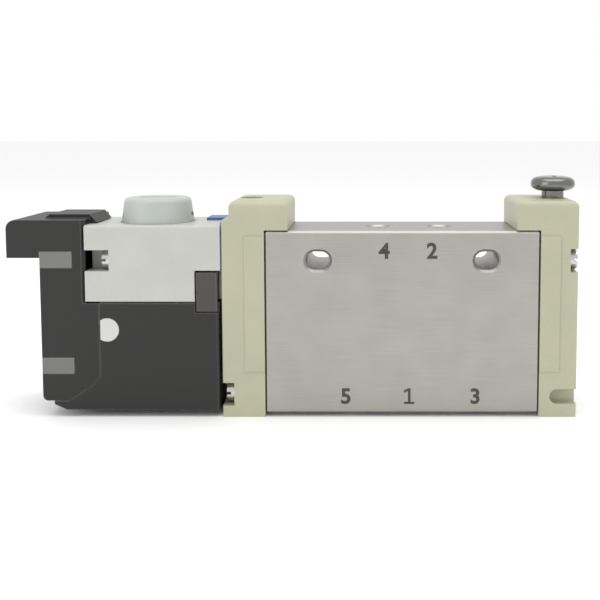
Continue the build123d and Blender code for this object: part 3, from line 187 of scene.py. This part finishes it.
class ValveLook(bpy.types.PropertyGroup):
    """Settings of the valve's look."""

    digit_height: bpy.props.FloatProperty(
        name="Digit height", description="Height of the port digits", default=1.8 * MM, unit="LENGTH"
    )
    digit_weight: bpy.props.FloatProperty(
        name="Digit weight", description="How much the digits' strokes are thickened", default=0.03
    )
    grain_depth: bpy.props.FloatProperty(
        name="Grain depth", description="Depth of the moulded grain", default=0.006 * MM, unit="LENGTH"
    )
    # painted edge highlight: how strongly the edges are mixed toward the near-white colour
    edge_light: bpy.props.FloatProperty(
        name="Edge wear", description="How much lighter worn edges are", default=0.25, subtype="FACTOR"
    )
    key_power: bpy.props.FloatProperty(
        name="Key power", description="Power of the large light overhead", default=0.45, unit="POWER"
    )


def look():
    """The scene's settings of the valve's look."""
    return bpy.context.scene.valve_look


def surface_group():
    """Node group of two noises: a tinted colour and roughness, edges lightened as a painted highlight,
    a bumped normal.
    """
    tree = bpy.data.node_groups.get("Worked surface")
    if tree:
        return tree
    tree = bpy.data.node_groups.new("Worked surface", "ShaderNodeTree")
    face = tree.interface
    for name, kind, value in (
        ("Colour", "NodeSocketColor", (0.5, 0.5, 0.5, 1.0)),
        ("Roughness", "NodeSocketFloat", 0.4),
        ("Grain", "NodeSocketFloat", 9000.0),
        ("Stretch", "NodeSocketVector", (1.0, 1.0, 1.0)),
        ("Depth", "NodeSocketFloat", 0.00001),
        ("Tint", "NodeSocketFloat", 0.1),
        ("Highlight", "NodeSocketFloat", 0.2),
    ):
        face.new_socket(name=name, in_out="INPUT", socket_type=kind).default_value = value
    face.new_socket(name="Colour", in_out="OUTPUT", socket_type="NodeSocketColor")
    face.new_socket(name="Roughness", in_out="OUTPUT", socket_type="NodeSocketFloat")
    face.new_socket(name="Normal", in_out="OUTPUT", socket_type="NodeSocketVector")
    add, link = tree.nodes.new, tree.links.new
    given = add("NodeGroupInput")
    out = add("NodeGroupOutput")
    coords = add("ShaderNodeTexCoord")
    scale = add("ShaderNodeVectorMath")
    scale.operation = "MULTIPLY"
    link(coords.outputs["Object"], scale.inputs[0])
    link(given.outputs["Stretch"], scale.inputs[1])
    fine = add("ShaderNodeTexNoise")
    fine.inputs["Detail"].default_value = GRAIN_DETAIL
    link(scale.outputs[0], fine.inputs["Vector"])
    link(given.outputs["Grain"], fine.inputs["Scale"])
    coarse = add("ShaderNodeTexNoise")
    coarse.inputs["Scale"].default_value = PATCH_SCALE
    link(coords.outputs["Object"], coarse.inputs["Vector"])
    blend = add("ShaderNodeMath")
    blend.operation = "ADD"
    link(fine.outputs["Fac"], blend.inputs[0])
    link(coarse.outputs["Fac"], blend.inputs[1])
    tinted = add("ShaderNodeMapRange")
    tinted.inputs["From Min"].default_value = PATCH_RANGE[0]
    tinted.inputs["From Max"].default_value = PATCH_RANGE[1]
    tinted.inputs["To Max"].default_value = 1.0
    link(blend.outputs[0], tinted.inputs["Value"])
    lowest = add("ShaderNodeMath")
    lowest.operation = "SUBTRACT"
    lowest.inputs[0].default_value = 1.0
    link(given.outputs["Tint"], lowest.inputs[1])
    link(lowest.outputs[0], tinted.inputs["To Min"])
    shade = add("ShaderNodeVectorMath")
    shade.operation = "SCALE"
    link(given.outputs["Colour"], shade.inputs[0])
    link(tinted.outputs["Result"], shade.inputs["Scale"])
    edge = add("ShaderNodeBevel")
    edge.inputs["Radius"].default_value = EDGE_RADIUS
    geometry = add("ShaderNodeNewGeometry")
    bend = add("ShaderNodeVectorMath")
    bend.operation = "DISTANCE"
    link(edge.outputs["Normal"], bend.inputs[0])
    link(geometry.outputs["Normal"], bend.inputs[1])
    # painted edge highlight: the bend of the bevelled normal times the highlight amount mixes the
    # near-white colour into the edges
    highlit = add("ShaderNodeMath")
    highlit.operation = "MULTIPLY"
    highlit.use_clamp = True
    link(bend.outputs["Value"], highlit.inputs[0])
    link(given.outputs["Highlight"], highlit.inputs[1])
    # a colour Mix node: input 0 is the factor, 6 and 7 the two colours, and output 2 the result
    mix = add("ShaderNodeMix")
    mix.data_type = "RGBA"
    mix.inputs[7].default_value = EDGE_HIGHLIGHT_COLOUR
    link(highlit.outputs[0], mix.inputs[0])
    link(shade.outputs[0], mix.inputs[6])
    link(mix.outputs[2], out.inputs["Colour"])
    rough = add("ShaderNodeMath")
    rough.operation = "MULTIPLY"
    link(given.outputs["Roughness"], rough.inputs[0])
    link(tinted.outputs["Result"], rough.inputs[1])
    link(rough.outputs[0], out.inputs["Roughness"])
    bump = add("ShaderNodeBump")
    link(fine.outputs["Fac"], bump.inputs["Height"])
    link(given.outputs["Depth"], bump.inputs["Distance"])
    link(edge.outputs["Normal"], bump.inputs["Normal"])
    link(bump.outputs["Normal"], out.inputs["Normal"])
    return tree


# the wear argument sets the painted edge highlight, a lightening of the edges that stands for light
# caught on them
def finish_material(name, colour, rough, metal, grain, stretch, depth, tint, highlight):
    """A Principled material fed by the worked-surface group."""
    mat = bpy.data.materials.new(name)
    mat.use_nodes = True
    tree = mat.node_tree
    shader = tree.nodes["Principled BSDF"]
    group = tree.nodes.new("ShaderNodeGroup")
    group.node_tree = surface_group()
    values = {
        "Colour": (*colour, 1.0),
        "Roughness": rough,
        "Grain": grain,
        "Stretch": stretch,
        "Depth": depth,
        "Tint": tint,
        "Highlight": highlight,
    }
    for key, value in values.items():
        group.inputs[key].default_value = value
    shader.inputs["Metallic"].default_value = metal
    tree.links.new(group.outputs["Colour"], shader.inputs["Base Color"])
    tree.links.new(group.outputs["Roughness"], shader.inputs["Roughness"])
    tree.links.new(group.outputs["Normal"], shader.inputs["Normal"])
    return mat


def paint(slot, mat):
    """Give every CAD node of a material slot this material."""
    nodes = [s["node"] for s in frame["record"]["subparts"] if s["material_slot"] == slot]
    if not nodes:
        raise RuntimeError(f"no node has the slot {slot}")
    for node in nodes:
        mesh = frame["nodes"][node].data
        mesh.materials.clear()
        mesh.materials.append(mat)


class VALVE_OT_plastics(bpy.types.Operator):
    """Give moulded and rubber pieces their finish"""

    bl_idname = "valve.plastics"
    bl_label = "Plastic finishes"

    def execute(self, context):
        depth = look().grain_depth
        for slot, (colour, rough) in PLASTICS.items():
            mat = finish_material(
                slot, colour, rough, metal=0.0, grain=PLASTIC_GRAIN, stretch=EVEN,
                depth=depth, tint=PLASTIC_TINT, highlight=look().edge_light,
            )
            paint(slot, mat)
        return {"FINISHED"}


class VALVE_OT_metals(bpy.types.Operator):
    """Give metal pieces their finish; the body is brushed along its length"""

    bl_idname = "valve.metals"
    bl_label = "Metal finishes"

    def execute(self, context):
        for slot, (colour, rough) in METALS.items():
            brushed = slot == "body_aluminium"
            stretch = BRUSHED_STRETCH if brushed else METAL_STRETCH
            depth = BRUSHED_DEPTH if brushed else METAL_DEPTH
            grain = BRUSHED_GRAIN if brushed else METAL_GRAIN
            mat = finish_material(
                slot, colour, rough, metal=1.0, grain=grain, stretch=stretch,
                depth=depth, tint=METAL_TINT, highlight=look().edge_light,
            )
            paint(slot, mat)
        return {"FINISHED"}


class VALVE_OT_digits(bpy.types.Operator):
    """Print the port digits on the body's side"""

    bl_idname = "valve.digits"
    bl_label = "Port digits"

    def execute(self, context):
        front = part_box("valve_body")[0].y - PRINT_PROUD
        ink = finish_material(
            "port_ink", INK_COLOUR, INK_ROUGHNESS, metal=0.0, grain=INK_GRAIN, stretch=EVEN,
            depth=0.0, tint=INK_TINT, highlight=0.0,
        )
        for text, x_mm, z_mm in DIGITS:
            if text == "1":
                outline = [(x, z, 0.0) for x, z in ONE]
                flat = bpy.data.meshes.new("port_digit")
                flat.from_pydata(outline, [], [tuple(range(len(outline)))])
            else:
                curve = bpy.data.curves.new("port_digit", "FONT")
                curve.body = text
                curve.align_x = "CENTER"
                curve.align_y = "CENTER"
                curve.offset = look().digit_weight
                holder = bpy.data.objects.new("port_digit_curve", curve)
                context.scene.collection.objects.link(holder)
                context.view_layer.update()
                seen = holder.evaluated_get(context.evaluated_depsgraph_get())
                flat = bpy.data.meshes.new_from_object(seen)
                bpy.data.objects.remove(holder)
            self.place(context, flat, text, x_mm, z_mm, front, ink)
        return {"FINISHED"}

    def place(self, context, flat, text, x_mm, z_mm, front, ink):
        """Stand a flat outline up on the printed side: x = scaled x + middle, z = scaled y + middle."""
        co = np.zeros(len(flat.vertices) * 3)
        flat.vertices.foreach_get("co", co)
        co = co.reshape(-1, 3)
        low, high = co.min(0), co.max(0)
        size = look().digit_height / (high[1] - low[1])
        placed = np.empty_like(co)
        placed[:, 0] = (co[:, 0] - (low[0] + high[0]) / 2) * size + x_mm * MM
        placed[:, 1] = front
        placed[:, 2] = (co[:, 1] - (low[1] + high[1]) / 2) * size + z_mm * MM
        flat.vertices.foreach_set("co", placed.ravel())
        flat.update()
        flat.materials.clear()
        flat.materials.append(ink)
        digit = bpy.data.objects.new(f"port_digit_{text}", flat)
        context.scene.collection.objects.link(digit)
        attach(digit, "root")


def area_light(name, place, turn_deg, size, power):
    """A soft rectangular light."""
    data = bpy.data.lights.new(name, "AREA")
    data.shape = "RECTANGLE"
    data.size, data.size_y = size
    data.energy = power
    lamp = bpy.data.objects.new(name, data)
    lamp.location = place
    lamp.rotation_euler = [math.radians(a) for a in turn_deg]
    bpy.context.scene.collection.objects.link(lamp)
    return lamp


class VALVE_OT_stage(bpy.types.Operator):
    """White floor and surroundings, soft lights and the camera"""

    bl_idname = "valve.stage"
    bl_label = "Stage"

    def execute(self, context):
        scene = context.scene
        floor_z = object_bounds()[0][2]
        far = FLOOR_REACH
        corners = [(x, y, floor_z) for x, y in ((-far, -far), (far, -far), (far, far), (-far, far))]
        sheet = bpy.data.meshes.new("floor")
        sheet.from_pydata(corners, [], [(0, 1, 2, 3)])
        white = bpy.data.materials.new("floor_white")
        white.use_nodes = True
        shader = white.node_tree.nodes["Principled BSDF"]
        shader.inputs["Base Color"].default_value = FLOOR_COLOUR
        shader.inputs["Roughness"].default_value = FLOOR_ROUGHNESS
        shader.inputs["Specular IOR Level"].default_value = FLOOR_SHINE
        sheet.materials.append(white)
        floor = bpy.data.objects.new("floor", sheet)
        scene.collection.objects.link(floor)
        power = look().key_power
        key = area_light("key", KEY_PLACE, KEY_TURN, KEY_SIZE, power)
        fill = area_light("fill", FILL_PLACE, FILL_TURN, FILL_SIZE, power * FILL_SHARE)
        world = bpy.data.worlds.new("surroundings")
        world.use_nodes = True
        tree = world.node_tree
        ground = tree.nodes["Background"]
        ground.inputs["Color"].default_value = SURROUND_COLOUR
        path = tree.nodes.new("ShaderNodeLightPath")
        level = tree.nodes.new("ShaderNodeMapRange")
        level.inputs["To Min"].default_value = SURROUND_LIGHT
        level.inputs["To Max"].default_value = SURROUND_SEEN
        tree.links.new(path.outputs["Is Camera Ray"], level.inputs["Value"])
        tree.links.new(level.outputs["Result"], ground.inputs["Strength"])
        scene.world = world
        data = bpy.data.cameras.new("camera")
        data.sensor_width = SENSOR
        data.lens = LENS
        data.shift_x, data.shift_y = SHIFT
        data.clip_start = NEAR_CLIP
        camera = bpy.data.objects.new("camera", data)
        camera.location = CAMERA_PLACE
        camera.rotation_euler = (math.radians(CAMERA_TILT), 0.0, 0.0)
        scene.collection.objects.link(camera)
        scene.camera = camera
        scene.view_settings.view_transform = "Standard"
        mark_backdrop(floor, key, fill, camera)
        return {"FINISHED"}


class VALVE_PT_panel(bpy.types.Panel):
    """Sidebar panel of the valve's look"""

    bl_idname = "VALVE_PT_panel"
    bl_label = "Valve"
    bl_space_type = "VIEW_3D"
    bl_region_type = "UI"
    bl_category = "Valve"

    def draw(self, context):
        for name in ("digit_height", "digit_weight", "grain_depth", "edge_light", "key_power"):
            self.layout.prop(look(), name)
        for operator in OPERATORS:
            self.layout.operator(operator.bl_idname)


OPERATORS = (VALVE_OT_plastics, VALVE_OT_metals, VALVE_OT_digits, VALVE_OT_stage)


def register():
    """Add the classes and the scene's settings."""
    for cls in (ValveLook, *OPERATORS, VALVE_PT_panel):
        bpy.utils.register_class(cls)
    bpy.types.Scene.valve_look = bpy.props.PointerProperty(type=ValveLook)


def unregister():
    """Take them away again."""
    del bpy.types.Scene.valve_look
    for cls in reversed((ValveLook, *OPERATORS, VALVE_PT_panel)):
        bpy.utils.unregister_class(cls)


def main():
    """Run each operator in turn."""
    register()
    bpy.ops.valve.plastics()
    bpy.ops.valve.metals()
    bpy.ops.valve.digits()
    bpy.ops.valve.stage()


if __name__ == "__main__":
    main()
